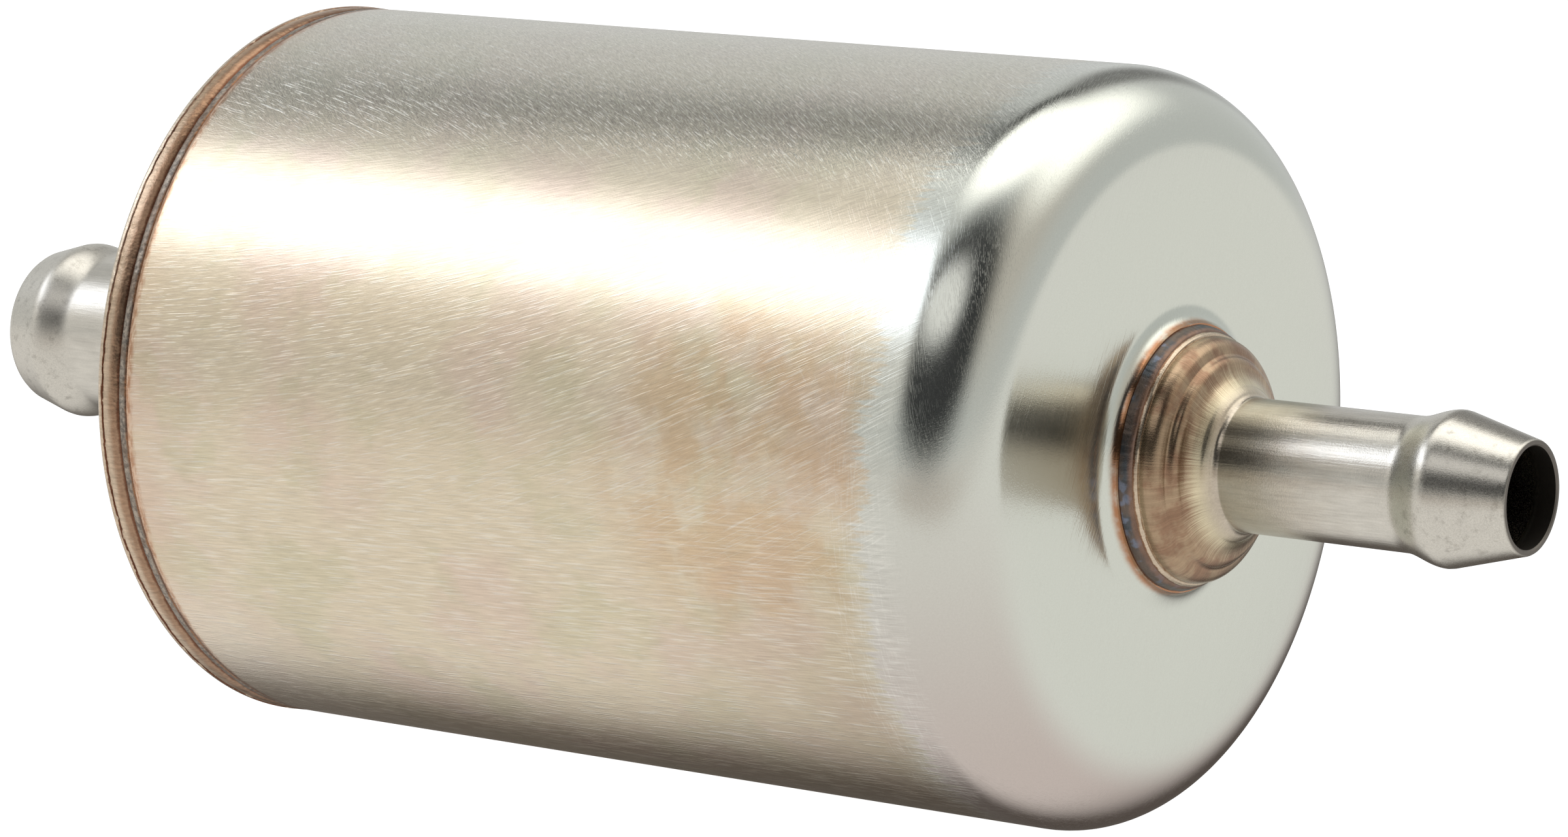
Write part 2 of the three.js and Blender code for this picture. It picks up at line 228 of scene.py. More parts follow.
# A Geometry Nodes tree with named inputs, which ends by giving its mesh the finish.
class Tree(Nodes):
    def __init__(self, name, inputs):
        super().__init__(bpy.data.node_groups.new(name, "GeometryNodeTree"))
        self.group.is_modifier = True
        self.source = self.group.nodes.new("NodeGroupInput")
        self.sink = self.group.nodes.new("NodeGroupOutput")
        self.keys = {}
        self.socket("Geometry", "Geometry", "INPUT")
        for key, (kind, value) in inputs.items():
            self.keys[key] = self.socket(key, kind, "INPUT", value)
        self.keys["Finish"] = self.socket("Finish", "Material", "INPUT")
        self.socket("Geometry", "Geometry", "OUTPUT")

    def socket(self, name, kind, way, value=None):
        made = self.group.interface.new_socket(name, in_out=way, socket_type="NodeSocket" + kind)
        if value is not None:
            made.default_value = value
        return made.identifier

    def given(self, name):
        return Field(self, self.source.outputs[name])

    def finished(self, geometry):
        smooth = self.out("GeometryNodeSetShadeSmooth", None, {"Geometry": geometry})
        real = self.out("GeometryNodeRealizeInstances", None, {"Geometry": smooth})
        coated = self.out("GeometryNodeSetMaterial", None,
                          {"Geometry": real, "Material": self.given("Finish")})
        feed(self.group, self.sink.inputs[0], coated)
        return self

    # Runs the tree on a mesh. The piece is the result as a plain mesh with its faces outwards.
    def piece(self, name, mesh, values, sharpAngle=38):
        source = bpy.data.objects.new(name + "Source", mesh)
        bpy.context.scene.collection.objects.link(source)
        modifier = source.modifiers.new("shape", "NODES")
        modifier.node_group = self.group
        for key, value in values.items():
            modifier[self.keys[key]] = value
        graph = bpy.context.evaluated_depsgraph_get()
        made = bpy.data.meshes.new_from_object(source.evaluated_get(graph))
        bpy.data.objects.remove(source)
        shape = bmesh.new()
        shape.from_mesh(made)
        bmesh.ops.remove_doubles(shape, verts=shape.verts, dist=weldWithin)
        bmesh.ops.recalc_face_normals(shape, faces=shape.faces)
        if shape.calc_volume(signed=True) < 0:
            bmesh.ops.reverse_faces(shape, faces=shape.faces)
        shape.to_mesh(made)
        shape.free()
        made.set_sharp_from_angle(angle=math.radians(sharpAngle))
        made.name = name
        result = bpy.data.objects.new(name, made)
        bpy.context.scene.collection.objects.link(result)
        return result


# ---- Geometry Nodes: a turned piece ----

mostSteps = 4096  # no piece has more steps round than this


# The modifier's own mesh is the outline, in order. A grid takes one row of points from it for each
# step round the axis, and weld ripple and frayed edges follow from the outline's two weights.
def turnedTree():
    tree = Tree("turnedPiece", {
        "Outline Points": ("Int", 2),
        "Steps Round": ("Int", 64),
        "Ripple Height": ("Float", 0.0),
        "Ripples Round": ("Float", 0.0),
        "Bead Unevenness": ("Float", 0.0),
        "Fray Length": ("Float", 0.0),
        "Fray Size": ("Float", 1.0),
        "Seed": ("Float", 0.0),
    })

    outline = tree.source.outputs["Geometry"]
    around = tree.given("Steps Round") + 1
    grid = tree.out("GeometryNodeMeshGrid", None,
                    {"Vertices X": tree.given("Outline Points"), "Vertices Y": around})
    index = tree.out("GeometryNodeInputIndex")
    row = (index / around + 0.5 / mostSteps).maths("FLOOR")
    turn = (index - row * around) / tree.given("Steps Round") * math.tau

    def sampled(kind, value):
        return tree.out("GeometryNodeSampleIndex", {"data_type": kind, "domain": "POINT"},
                        {"Geometry": outline, "Value": value, "Index": row})

    def weight(name):
        attribute = tree.out("GeometryNodeInputNamedAttribute", {"data_type": "FLOAT"}, {"Name": name})
        return sampled("FLOAT", attribute)

    axial, radius = tree.parts(sampled("FLOAT_VECTOR", tree.out("GeometryNodeInputPosition")))[:2]
    cosine, sine = turn.maths("COSINE"), turn.maths("SINE")
    ring = tree.vector(axial * 0.6, radius * cosine, radius * sine)

    def noise(size, offset):
        moved = tree.out("ShaderNodeVectorMath", {"operation": "ADD"},
                         {0: ring, 1: tree.vector(tree.given("Seed") + offset)})
        return tree.out("ShaderNodeTexNoise", None,
                        {"Vector": moved, "Scale": size, "Detail": 3.0}) - 0.5

    # each ripple climbs slowly and drops at its front edge; its pitch and height wander
    fray = tree.given("Fray Size")
    phase = turn / math.tau * tree.given("Ripples Round") + noise(fray * 0.25, 1.0) * 3
    climb = phase.maths("FRACT")
    scallop = climb * (1 - climb ** 6) * (0.6 + noise(fray * 0.6, 2.0) * 1.6)
    lift = weight("ripple") * (tree.given("Ripple Height") * scallop
                               + tree.given("Bead Unevenness") * noise(fray, 3.0) * 2)
    ragged = noise(fray, 4.0) + noise(fray * 4, 5.0) * 0.6
    shift = weight("fray") * tree.given("Fray Length") * ragged * 2
    full = radius + lift
    position = tree.vector(axial + shift, full * cosine, full * sine)
    placed = tree.out("GeometryNodeSetPosition", None, {"Geometry": grid, "Position": position})
    welded = tree.out("GeometryNodeMergeByDistance", None, {"Geometry": placed, "Distance": weldWithin})
    return tree.finished(welded)


turned = turnedTree()


# Turns an outline into a closed mesh round the axis.
def turn(name, outline, finish, steps, **sizes):
    points = outline.closed()
    mesh = bpy.data.meshes.new(name + "Outline")
    mesh.from_pydata([(p[0] * mm, p[1] * mm, 0) for p in points],
                     [(i, i + 1) for i in range(len(points) - 1)], [])
    for weight, column in (("ripple", 2), ("fray", 3)):
        attribute = mesh.attributes.new(weight, "FLOAT", "POINT")
        attribute.data.foreach_set("value", [p[column] for p in points])
    return turned.piece(name, mesh, {
        "Outline Points": len(points), "Steps Round": steps, "Finish": finish, **sizes})


# ---- Materials ----

def rgb(red, green, blue):
    def linear(value):
        value = value / 255
        return value / 12.92 if value <= 0.04045 else ((value + 0.055) / 1.055) ** 2.4

    return (linear(red), linear(green), linear(blue), 1)


# A material being built, with the surface's place in millimetres and the axis's own coordinates.
class Finish(Nodes):
    def __init__(self, name, metallic=1.0, roughness=0.35):
        self.material = bpy.data.materials.new(name)
        self.material.use_nodes = True
        super().__init__(self.material.node_tree)
        self.group.nodes.clear()
        output = self.node("ShaderNodeOutputMaterial")
        self.shader = self.node("ShaderNodeBsdfPrincipled", None,
                                {"Metallic": metallic, "Roughness": roughness})
        feed(self.group, output.inputs["Surface"], self.shader.outputs[0])
        place = self.out("ShaderNodeTexCoord", None, None, "Object")
        self.x, self.y, self.z = (part * (1 / mm) for part in self.parts(place))
        self.radius = (self.y * self.y + self.z * self.z).maths("SQRT")
        self.angle = self.z.maths("ARCTAN2", self.y)

    # Noise from 0 to 1 with features of about the given size in millimetres.
    def noise(self, place, size, detail, rough, seed):
        moved = self.out("ShaderNodeVectorMath", {"operation": "ADD"},
                         {0: place, 1: (seed, seed * 1.7, -seed)})
        return self.out("ShaderNodeTexNoise", None, {
            "Vector": moved, "Scale": 1 / size, "Detail": detail, "Roughness": rough})

    # The surface's place in millimetres.
    def here(self):
        return self.vector(self.x, self.y, self.z)

    # Place turned about the axis by so many degrees for each millimetre along it, with the axis
    # shortened, so that noise on it draws out into lines at that helix angle. The bend changes the
    # angle steadily along the axis.
    def twisted(self, degrees, shorten, bend=0.0):
        turned = self.angle + self.x * (math.radians(degrees) + self.x * math.radians(bend))
        return self.vector(self.x * shorten, self.radius * turned.maths("COSINE"),
                           self.radius * turned.maths("SINE"))

    # Noise on this draws out into hoops round the axis, the more the smaller shorten is.
    def hoops(self, shorten):
        return self.vector(self.x + self.radius, self.y * shorten, self.z * shorten)

    # Noise on this draws out across the hoops, and its width is true at the given radius.
    def spokes(self, shorten, trueAt=9):
        return self.vector((self.x + self.radius) * shorten, self.y / self.radius * trueAt,
                           self.z / self.radius * trueAt)

    # Place in a flat face, turned and shortened along one direction.
    def brushed(self, degrees, shorten):
        c, s = math.cos(math.radians(degrees)), math.sin(math.radians(degrees))
        along = self.y * c + self.z * s
        across = self.z * c - self.y * s
        return self.vector(self.x * 0.5, along * shorten, across)

    # A colour lightened or darkened by a number about 1.
    def shade(self, colour, amount):
        grey = self.node("ShaderNodeCombineColor", None, {0: amount, 1: amount, 2: amount})
        return self.mix(1.0, colour, grey.outputs[0], "MULTIPLY")

    # A bump whose height runs from 0 to 1 over the given depth in millimetres.
    def bump(self, height, depth, strength=0.8):
        return self.out("ShaderNodeBump", None,
                        {"Height": height, "Distance": depth * mm, "Strength": strength})

    def done(self, colour, roughness, normal):
        feed(self.group, self.shader.inputs["Base Color"], colour)
        feed(self.group, self.shader.inputs["Roughness"], roughness)
        feed(self.group, self.shader.inputs["Normal"], normal)
        return self.material


# Thin lines: noise on a drawn-out place, kept where it is above a level.
def lines(finish, place, width, level, soft, seed):
    return finish.noise(place, width, 1.0, 0.5, seed).step(level, level + soft)


canFinish = {
    "champagne": rgb(214, 200, 176),
    "pink": rgb(212, 190, 174),
    "olive": rgb(198, 190, 160),
    "amber": rgb(200, 170, 134),
    # painted reflection of the surroundings: the next is darker low at the front, the one after lighter
    # low at the back
    "paintedShadeLowFront": rgb(160, 146, 124),
    "paintedSheenLowBack": rgb(240, 230, 212),
    "silver": rgb(206, 207, 198),
    "bare": rgb(236, 234, 226),
    "top": rgb(206, 206, 198),
    "frontFace": rgb(205, 207, 197),
    # darker and pinker low on the shoulder: painted shade, with some patina
    "under": rgb(186, 170, 163),  # low on the shoulder
    "tintWarm": rgb(158, 104, 66),
    "tintPink": rgb(204, 168, 140),
    # in millimetres
    "paleStart": 11.0,  # from the front face back to where the side pales
    "silverStart": 8.8,  # and to where it turns silver
    "face": (20.5, 24.5),  # radii between which the face turns into the shoulder
    "side": (4.5, 7.5),  # places behind the face between which the shoulder turns into the side
    "seamEdge": 2.85,  # from the rear face to the front edge of the seam
    "warm": {"x": 22, "z": 1, "radius": 13},  # the amber patch
}

# Families of scratches. The first three numbers lay the place out: degrees turned for each
# millimetre along the axis, how far the axis is shortened, and the way the sweep bends. The others
# are the line's width in millimetres, its level, its softness and its seed.
canScratches = {
    "low": (0.12, 0.045, 0, 0.13, 0.54, 0.14, 1.0),
    "middle": (0.68, 0.05, 1, 0.11, 0.55, 0.14, 2.0),
    "top": (-1.1, 0.11, -1, 0.12, 0.56, 0.14, 3.0),
    "deep": (-0.9, 0.04, -1, 0.15, 0.62, 0.1, 3.5),
    "cross": (-2.6, 0.1, 0, 0.12, 0.6, 0.12, 4.0),
    "comb": (0.1, 0.12, 0, 0.14, 0.55, 0.12, 5.0),
    "slant": (-7.0, 0.25, 0, 0.12, 0.56, 0.12, 12.5),
}
canSweep = 0.007  # degrees by which a bent family's angle changes for each millimetre


def canScratch(f, name):
    degrees, shorten, way, *line = canScratches[name]
    return lines(f, f.twisted(degrees, shorten, way * canSweep), *line)


def canMaterial():
    f = Finish("satinCanSteel", roughness=0.3)
    c = canFinish
    here = f.here()
    fromFace = shell["frontFace"] - f.x
    forward = f.x / shell["frontFace"]
    up = f.z / shell["canRadius"]
    onFace = 1 - f.radius.step(*c["face"])
    onSide = fromFace.step(*c["side"])

    # broad faint colour patches, and one warmer one towards the front
    patchA = f.noise(here, 12, 4, 0.55, 3.1).step(0.45, 0.62)
    patchB = f.noise(here, 7, 4, 0.55, 11.7).step(0.5, 0.64)
    champagne = f.mix(patchA * 0.6, c["champagne"], c["pink"])
    champagne = f.mix(patchB * 0.5, champagne, c["olive"])
    patch = c["warm"]
    along, high = (f.x - patch["x"]) / patch["radius"], (f.z - patch["z"]) / patch["radius"]
    warm = 1 - (along * along + high * high).step(0.3, 1.3)
    warm = warm * f.noise(here, 5, 4, 0.6, 17.0).step(0.38, 0.6)
    champagne = f.mix(warm * 0.6 * (-f.y).step(5, 15), champagne, c["amber"])

    # painted reflection: darker low at the front and lighter low at the back, and grey on top
    paintedShadeLowFront = (forward - up).step(0.6, 1.7)
    champagne = f.mix(paintedShadeLowFront * 0.8, champagne, c["paintedShadeLowFront"])
    paintedSheenLowBack = (-forward - up).step(1.15, 1.8)
    champagne = f.mix(paintedSheenLowBack, champagne, c["paintedSheenLowBack"])
    champagne = f.mix(up.step(0.65, 0.87) * 0.65, champagne, c["top"])

    # scratches sweep round: down at the top, up in the middle, along the axis below
    lowMask = 1 - up.step(-0.3, 0.15)
    middleMask = up.band(-0.05, 0.35, 0.25)
    topMask = up.step(0.66, 0.84)
    low = canScratch(f, "low") * lowMask
    middle = canScratch(f, "middle") * middleMask
    top = canScratch(f, "top") * topMask
    deep = canScratch(f, "deep") * topMask * (1 - f.x.step(-25, 5))
    cross = canScratch(f, "cross") * forward.step(0.2, 0.9)
    comb = canScratch(f, "comb") * fromFace.band(7.5, 10.0, 1.5)
    hoop = lines(f, f.hoops(0.08), 0.12, 0.56, 0.12, 6.0) * fromFace.band(5.0, 10.5, 1.5)
    scratch = low + middle + top * 0.8 + deep + cross * 0.5
    fineLow = f.noise(f.twisted(0.1, 0.05), 0.1, 2, 0.5, 7.0)
    fineHigh = f.noise(f.twisted(0.68, 0.08, canSweep), 0.11, 2, 0.5, 7.5)
    fineTop = f.noise(f.twisted(-1.6, 0.25), 0.13, 3, 0.65, 7.8)
    fine = f.mix(up.step(-0.2, 0.2), fineLow, fineHigh)
    fine = f.mix(up.step(0.66, 0.84), fine, fineTop)
    grain = f.noise(here, 0.11, 2, 0.6, 8.0)

    # the side turns silver towards the shoulder over an edge ragged by the scratches
    ragged = f.noise(f.twisted(0.1, 0.12), 0.35, 3, 0.6, 5.0) * 5 + f.noise(here, 6, 2, 0.5, 9.0) * 4
    toPale = (c["paleStart"] + 4.5 - ragged - fromFace).step(0, 3.5)
    toSilver = (c["silverStart"] + 4.5 - ragged - fromFace).step(0, 0.9)
    colour = f.mix(toPale * 0.4, champagne, c["silver"])
    colour = f.mix(toSilver, colour, c["silver"])
    # low on the shoulder the silver is darkened: painted shade, with some patina
    under = toSilver * (1 - onFace) * (-up).step(-0.2, 0.85)
    colour = f.mix(under * 0.8, colour, c["under"])
    colour = f.mix(1 - f.radius.step(18, 24), colour, c["frontFace"])
    pale = scratch * (0.3 + topMask * 0.35) + (hoop + comb) * 0.15
    colour = f.mix(pale * onSide, colour, c["bare"])
    amount = 0.97 + (fine - 0.5) * (0.5 + topMask * 0.5) * onSide + (grain - 0.5) * 0.12
    colour = f.shade(colour, amount)

    # heat tint beside the rear seam and round the collar
    fromSeam = f.x - (shell["rearFace"] + c["seamEdge"])
    fuzz = f.noise(f.hoops(0.36), 0.35, 3, 0.6, 14.0)
    nearSeam = 1 - (fromSeam - fuzz * 0.7).step(-0.2, 0.55)
    colour = f.mix(nearSeam * 0.85, colour, f.mix(fuzz.step(0.4, 0.6), c["tintPink"], c["tintWarm"]))
    colour = f.mix((1 - fromSeam.step(0.5, 4.5)) * 0.15, colour, c["tintPink"])
    raised = (f.x - shell["frontFace"] - fuzz * 0.3).step(0.1, 0.5)
    cloud = f.noise(here, 3, 4, 0.65, 19.0)
    colour = f.mix(raised * cloud.step(0.4, 0.62) * 0.45, colour, c["amber"])
    warmEdge = 1 - (f.radius - fuzz * 0.9 - cloud * 0.8).step(8.7, 9.4)
    colour = f.mix(raised * warmEdge * 0.9, colour, c["tintWarm"])

    rough = 0.24 + (grain - 0.5) * 0.1 - toSilver * 0.03 - (1 - onSide) * 0.05 + onFace * 0.01
    faceLines = lines(f, f.brushed(62, 0.05), 0.13, 0.52, 0.16, 12.0)
    slant = canScratch(f, "slant") * (1 - onSide) * (1 - onFace)
    height = (scratch * 0.5 + fine * 0.9 + grain * 0.5) * (0.2 + 0.8 * onSide)
    height = height * (0.65 - up.band(0.4, 0.66, 0.2) * 0.35 + topMask * 0.2)
    height = height + faceLines * 0.12 * onFace + slant * 0.1
    normal = f.bump(height, 0.022)
    return f.done(colour, rough, normal)


coverFinish = {
    # paints the highlight along the rounded rear edge, and lightens the tan in patches
    "pale": rgb(222, 208, 188),
    "tan": rgb(190, 162, 134),
    "bronze": rgb(150, 114, 88),
    "rust": rgb(104, 66, 48),
    "rearLight": rgb(205, 200, 188),
    "rearWarm": rgb(196, 180, 156),
    "burr": (0.77, 0.87),  # millimetres from the rear face
}


def coverMaterial():
    f = Finish("tintedCoverSteel", roughness=0.3)
    c = coverFinish
    fromRear = f.x - shell["rearFace"]
    fuzz = f.noise(f.hoops(0.29), 0.45, 3, 0.65, 21.0)
    coarse = f.noise(f.hoops(0.07), 2.4, 3, 0.6, 22.0)
    grain = f.noise(f.here(), 0.12, 2, 0.6, 23.0)
    tan = f.mix(coarse.step(0.3, 0.7), c["tan"], f.mix(0.45, c["tan"], c["pale"]))
    # the rounded rear edge is painted pale in patches: a painted highlight along it
    edge = f.mix(coarse.step(0.4, 0.6), c["pale"], tan)
    colour = f.mix((fromRear + fuzz * 0.3).step(0.55, 0.8), edge, tan)
    colour = f.mix((fromRear + fuzz * 0.7).step(1.2, 1.9) * 0.8, colour, c["bronze"])
    colour = f.mix((fromRear + fuzz * 0.35).step(1.95, 2.12) * 0.9, colour, c["rust"])
    burr = (fromRear + fuzz * 0.5).band(*c["burr"], 0.04)
    colour = f.mix(burr * coarse.step(0.35, 0.5), colour, c["rust"])
    onRear = 1 - fromRear.step(0.0, 0.3)
    colour = f.mix(onRear, colour, f.mix(coarse * 0.5, c["rearLight"], c["rearWarm"]))
    ticks = f.noise(f.twisted(0.0, 0.18), 0.2, 2, 0.6, 25.0)
    colour = f.shade(colour, 0.92 + (grain - 0.5) * 0.3 + (fuzz - 0.5) * 0.4 + (ticks - 0.5) * 0.8)
    wave = f.noise(f.here(), 1.6, 3, 0.6, 24.0)
    normal = f.bump(grain * 0.3 + fuzz * 0.6 + wave * 3, 0.05)
    return f.done(colour, 0.34 + (grain - 0.5) * 0.15, normal)


seamFinish = {
    "grey": rgb(122, 114, 106),
    "light": rgb(176, 164, 150),
    "brown": rgb(128, 108, 92),
    "edgeDark": rgb(104, 70, 52),
    "edgeCopper": rgb(158, 108, 72),
    "middle": 2.42,  # millimetres from the rear face
}


def seamMaterial():
    f = Finish("weldBeadSteel", roughness=0.42)
    c = seamFinish
    fuzz = f.noise(f.here(), 0.35, 3, 0.65, 31.0)
    grain = f.noise(f.here(), 0.1, 2, 0.6, 32.0)
    coarse = f.noise(f.here(), 2.2, 2, 0.6, 33.0)
    colour = f.mix(fuzz.step(0.35, 0.65), c["grey"], c["light"])
    colour = f.mix(coarse.step(0.45, 0.6) * 0.6, colour, c["brown"])
    across = f.x - (shell["rearFace"] + c["middle"])
    edges = (across.maths("ABSOLUTE") + (fuzz - 0.5) * 0.25).step(0.2, 0.4)
    edgeColour = f.mix(coarse.step(0.4, 0.6), c["edgeDark"], c["edgeCopper"])
    colour = f.mix(edges * 0.85, colour, edgeColour)
    colour = f.shade(colour, 0.9 + (grain - 0.5) * 0.7)
    normal = f.bump(grain + fuzz, 0.02)
    return f.done(colour, 0.4 + (grain - 0.5) * 0.2, normal)


nippleWeldFinish = {
    "steel": rgb(84, 88, 92),
    "brown": rgb(108, 96, 88),
    "blue": rgb(128, 138, 158),
    "copper": rgb(150, 96, 58),
    "tan": rgb(140, 110, 92),
}


def nippleWeldMaterial(name, face, side):
    f = Finish(name, roughness=0.4)
    c = nippleWeldFinish
    rise = (f.x - face) * side
    fuzz = f.noise(f.hoops(0.32), 0.3, 3, 0.65, 41.0)
    grain = f.noise(f.here(), 0.1, 2, 0.6, 42.0)
    coarse = f.noise(f.here(), 2.0, 3, 0.6, 43.0)
    streak = f.noise(f.hoops(0.1), 0.22, 3, 0.6, 45.0)
    spots = f.noise(f.here(), 1.1, 2, 0.5, 44.0).step(0.56, 0.68)
    colour = f.mix(coarse.step(0.4, 0.6), c["steel"], c["brown"])
    colour = f.mix(spots * 0.6, colour, c["blue"])
    colour = f.mix((1 - (rise + fuzz * 0.25).step(0.85, 1.1)) * 0.85, colour, c["copper"])
    colour = f.mix((rise + fuzz * 0.3).step(1.55, 1.85) * 0.7, colour, c["tan"])
    colour = f.shade(colour, 0.9 + (grain - 0.5) * 0.4 + (streak - 0.5) * 0.9)
    normal = f.bump(grain + fuzz, 0.015)
    return f.done(colour, 0.38 + (grain - 0.5) * 0.2, normal)


nippleFinish = {
    "tube": rgb(186, 174, 157),
    "tip": rgb(204, 199, 189),
    "dome": rgb(166, 142, 116),
    "copper": rgb(146, 116, 94),
    "champagne": rgb(210, 198, 168),
    "dark": rgb(128, 122, 112),
    "flange": rgb(196, 178, 156),
    "foot": rgb(120, 86, 66),
    # painted shade inside the bore
    "bore": rgb(96, 90, 84),
}


def nippleMaterial(name, face, side, nipple):
    f = Finish(name, roughness=0.3)
    c = nippleFinish
    rise = (f.x - face) * side
    here = f.here()
    coarse = f.noise(here, 1.8, 3, 0.6, 51.0)
    grain = f.noise(here, 0.11, 2, 0.6, 52.0)
    ring = f.noise(f.hoops(0.12), 0.2, 2, 0.5, 53.0)
    axial = f.noise(f.twisted(0.0, 0.06), 0.14, 2, 0.5, 54.0)
    fuzz = f.noise(f.hoops(0.5), 0.35, 3, 0.6, 55.0)

    brush = f.noise(f.spokes(0.07), 0.13, 2, 0.5, 57.0)
    dome = f.mix(coarse.step(0.4, 0.62), c["dome"], c["copper"])
    dome = f.mix((rise + (brush - 0.5) * 1.2).step(4.2, 5.1) * 0.9, dome, c["champagne"])
    toTube = rise.step(4.8, 5.9)
    tube = f.mix((rise + coarse * 8).step(8, 22), c["tube"], c["tip"])
    colour = f.mix(toTube, dome, tube)
    colour = f.mix((rise + fuzz * 0.3).band(2.08, 2.3, 0.05), colour, c["flange"])
    colour = f.mix((1 - (rise + fuzz * 0.3).step(2.0, 2.1)) * 0.8, colour, c["foot"])

    # smutty mottling on the bead and cone
    crest = nipple["reach"] - nipple["beadToTip"]
    bead = rise.step(crest - 4.2, crest - 1.5)
    smut = f.noise(here, 0.9, 4, 0.7, 56.0).step(0.5, 0.75)
    colour = f.mix(bead * smut * 0.5, colour, c["dark"])
    onTube = toTube * (1 - bead)
    smear = f.noise(f.twisted(0.0, 0.3), 0.7, 3, 0.6, 58.0)
    amount = 0.96 + (grain - 0.5) * (0.2 + bead * 0.35)
    amount = amount + ((axial - 0.5) * 0.3 + (smear - 0.5) * 0.35) * onTube
    amount = amount + ((brush - 0.5) * 0.55 + (ring - 0.5) * 0.3) * (1 - toTube)
    colour = f.shade(colour, amount)

    # the bore is rougher inside and painted darker, as shade in the recess
    bore = 1 - f.radius.step(nipple["bore"] - 0.02, nipple["bore"] + 0.12)
    colour = f.mix(bore * 0.9, colour, c["bore"])
    rough = nipple["roughness"] + (grain - 0.5) * 0.12 + bead * 0.04 + (1 - toTube) * 0.04 + bore * 0.25
    normal = f.bump(axial * onTube * 0.7 + grain * 0.6 + (brush + ring) * (1 - toTube) * 0.6, 0.014)
    return f.done(colour, rough, normal)


# ---- Pieces of the shell ----

can = {
    "wall": 0.8,
    "shoulder": 6.0,
    "shoulderEnd": 3,  # degrees short of facing forward, where the crown takes over
    "crown": 0.2,  # the front face rises by this from the shoulder to where it is flat
    "flatFrom": 14.0,
    "start": 2.45,  # open end, from the rear face
    # (place from the open end, depth below the outside)
    "bevel": [(0.0, 0.5), (0.25, 0.2), (0.5, 0.03), (0.8, 0.0)],
    "collarRadius": 9.6,
    "collarFillet": 1.5,
    "collarLand": 1.3,
}


def canOutline():
    s, c = shell, can
    outer, front, wide = s["canRadius"], s["frontFace"], s["openRadius"]
    start = s["rearFace"] + c["start"]
    line = Outline()
    line.add(start, wide - c["wall"])
    for along, depth in c["bevel"]:
        line.add(start + along, wide - depth)
    bend = c["shoulder"]
    line.arc(front - c["crown"] - bend, outer - bend, bend, bend, 90, c["shoulderEnd"], 24)
    crownBase, crownRadius = line.points[-1][:2]
    for i in range(1, 9):
        share = i / 8
        rise = 1 - (1 - share) ** 2
        line.add(crownBase + (front - crownBase) * rise,
                 crownRadius + (c["flatFrom"] - crownRadius) * share)
    line.arc(front + s["collarHeight"], c["collarRadius"] + c["collarFillet"], s["collarHeight"],
             c["collarFillet"], 180, 270, 12)
    hole = c["collarRadius"] - c["collarLand"]
    line.add(front + s["collarHeight"], hole).add(front - c["wall"] / 4, hole)
    line.add(front - c["wall"], c["collarRadius"] + c["collarFillet"] - c["wall"])
    inner = bend - c["wall"]
    line.arc(front - bend, outer - bend, inner, inner, 0, 90, 12)
    return line


cover = {
    "wall": 1.0,
    "edge": 0.35,
    # (place from the rear face, depth below the rim's outside, fray)
    "rim": [(0.55, 0.0, 1), (0.6, 0.07, 1), (1.3, 0.042, 0), (1.75, 0.14, 0), (2.0, 0.32, 0)],
    "collarRadius": 11.22,
}


def coverOutline():
    s, c = shell, cover
    rim, wall = s["rimRadius"], c["wall"]
    bore = s["openRadius"] - can["wall"]
    line = Outline()
    line.arc(c["edge"], rim - c["edge"], c["edge"], c["edge"], 180, 90, 6)
    for along, depth, fray in c["rim"]:
        line.add(along, rim - depth, 0, fray)
    line.add(c["rim"][-1][0], bore)
    line.arc(2 * wall, bore - wall, wall, wall, 90, 180, 6)
    fillet, radius, height = can["collarFillet"], c["collarRadius"], s["collarHeight"]
    hole = radius - can["collarLand"]
    line.add(wall, radius + fillet - wall).add(wall / 4, hole).add(-height, hole)
    line.arc(-height, radius + fillet, height, fillet, 270, 360, 12)
    return line.place(s["rearFace"], 1)


seam = {
    "start": 2.05,
    "end": 2.9,
    "crown": 0.16,
    "sink": 0.2,  # its edges below the can's outside
    "flank": 0.02,  # how much wider it is at its root
    "ripples": 330,
}


def seamOutline():
    s, c = shell, seam
    low = s["openRadius"] - can["bevel"][0][1]
    middle, half = (c["start"] + c["end"]) / 2, (c["end"] - c["start"]) / 2
    line = Outline()
    line.add(c["start"] - c["flank"], low)
    for i in range(13):
        share = i / 12
        angle = math.pi * (1 - share)
        radius = s["openRadius"] - c["sink"] + c["crown"] * math.sin(angle)
        line.add(middle + half * math.cos(angle), radius, math.sin(math.pi * share),
                 1 if i in (0, 12) else 0.3)
    line.add(c["end"] + c["flank"], low)
    return line.place(s["rearFace"], 1)


outlet = {
    "reach": 28.05, "tube": 9.525 / 2, "wall": 0.85, "foot": 8.98, "beadHeight": 0.7275,
    "beadToTip": 5.75, "beadRise": 3.1, "tipInset": 0.7625, "tipWall": 0.425, "tipRound": 0.12,
    "roughness": 0.23,
}
inlet = {
    "reach": 30.5, "tube": 12.7 / 2, "wall": 0.9, "foot": 10.6, "beadHeight": 0.8,
    "beadToTip": 3.7, "beadRise": 3.1, "tipInset": 0.15, "tipWall": 0.75, "tipRound": 0.45,
    "roughness": 0.31,
}
for nipple in (outlet, inlet):
    nipple["bore"] = nipple["tube"] - nipple["wall"]

# The foot's dome steps in over two bands; a low roll goes round the neck before the tube.
foot = {
    "low": 1.6, "edge": 0.5, "domeTop": 4.8, "fillet": 1.15, "wall": 0.9,
    # (place from the underside, step out past the foot's radius, ripple, fray)
    "flange": [(0.0, -0.05, 1, 0), (0.12, 0.1, 1, 0), (0.4, 0.03, 0.5, 0), (0.5, -0.06, 0, 0.3)],
    # (place, share of the way out from neck to foot edge)
    "dome": [(2.12, 0.94), (2.55, 0.93), (3.0, 0.87), (3.32, 0.77), (3.5, 0.65), (3.58, 0.57),
             (3.74, 0.52), (4.0, 0.47), (4.2, 0.38), (4.3, 0.28), (4.42, 0.18), (4.6, 0.08),
             (4.8, 0.0)],
    # (place, height over the tube)
    "neck": [(5.0, 0.92), (5.12, 0.8), (5.3, 0.66), (5.52, 0.42), (5.68, 0.18), (5.86, 0.05), (6.05, 0.0)],
}


